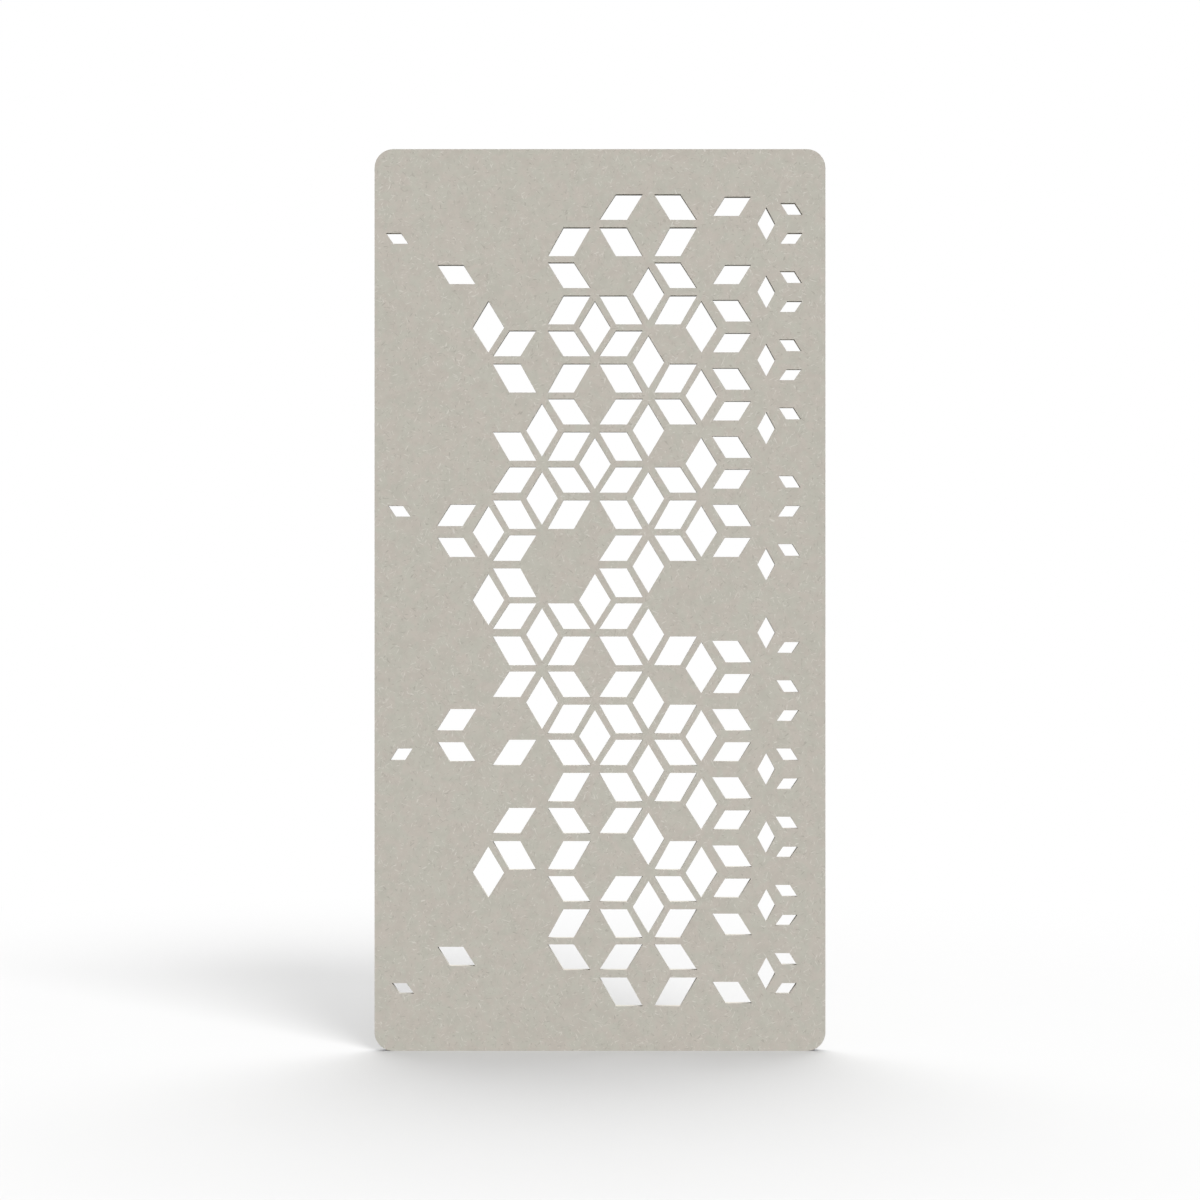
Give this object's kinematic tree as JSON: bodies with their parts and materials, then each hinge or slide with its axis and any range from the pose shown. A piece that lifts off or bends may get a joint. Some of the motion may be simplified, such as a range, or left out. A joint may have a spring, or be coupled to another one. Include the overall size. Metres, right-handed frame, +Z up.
{
  "type": "hanging room divider panel",
  "caption": "Tall flat felt room divider with rounded corners, pierced by a lattice of diamonds and slanted cells, hung from threaded inserts hidden in its top edge.",
  "frame": {"origin": "middle of the panel's top edge, halfway through its thickness and halfway between the two hanging inserts", "axes": "+Z up along the panel's height, +X to the right seen from the front, -Y out of the front face"},
  "size_m": [1.2, 0.024, 2.4],
  "materials": {
    "felt": "warm grey pressed polyester felt, matt, faintly mottled",
    "adhesive": "pale hot-melt adhesive web",
    "zinc_steel": "bright zinc plate"
  },
  "bodies": {
    "root": {"front_board": "felt", "bond_web": "adhesive", "back_board": "felt", "left_hanging_insert": "zinc_steel", "right_hanging_insert": "zinc_steel"}
  },
  "joints": []
}
